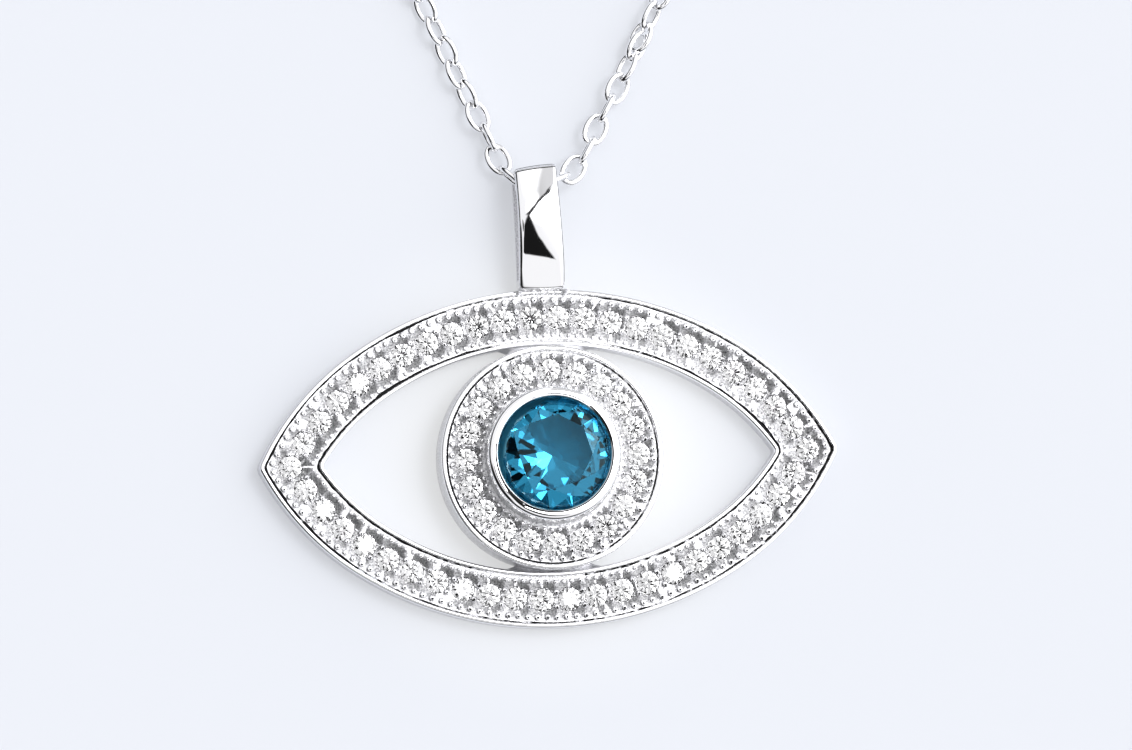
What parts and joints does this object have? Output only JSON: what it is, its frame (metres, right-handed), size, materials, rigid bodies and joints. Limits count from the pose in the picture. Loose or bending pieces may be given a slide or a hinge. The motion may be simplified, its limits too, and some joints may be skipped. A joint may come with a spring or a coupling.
{
  "type": "evil eye pendant",
  "caption": "Evil eye pendant: a pointed oval band set with small white stones round a stone-set disc with a blue centre stone, on a cable chain laid out as a whole necklace.",
  "frame": {"origin": "on the flat back of the iris disc, under its middle", "axes": "+X to the right of the eye as it is seen, +Y from the eye towards the bail and the chain, +Z out of the face"},
  "size_m": [0.1021, 0.18, 0.004],
  "materials": {
    "silver": "polished sterling silver with a rhodium flash, left grainy where the cast sides show",
    "white_stone": "clear round brilliant, polished",
    "blue_stone": "teal blue round brilliant, polished"
  },
  "bodies": {
    "root": {"eye_setting": "silver", "eye_stones": "white_stone", "iris_stones": "white_stone", "centre_stone": "blue_stone", "chain": "silver", "clasp": "silver"}
  },
  "joints": []
}
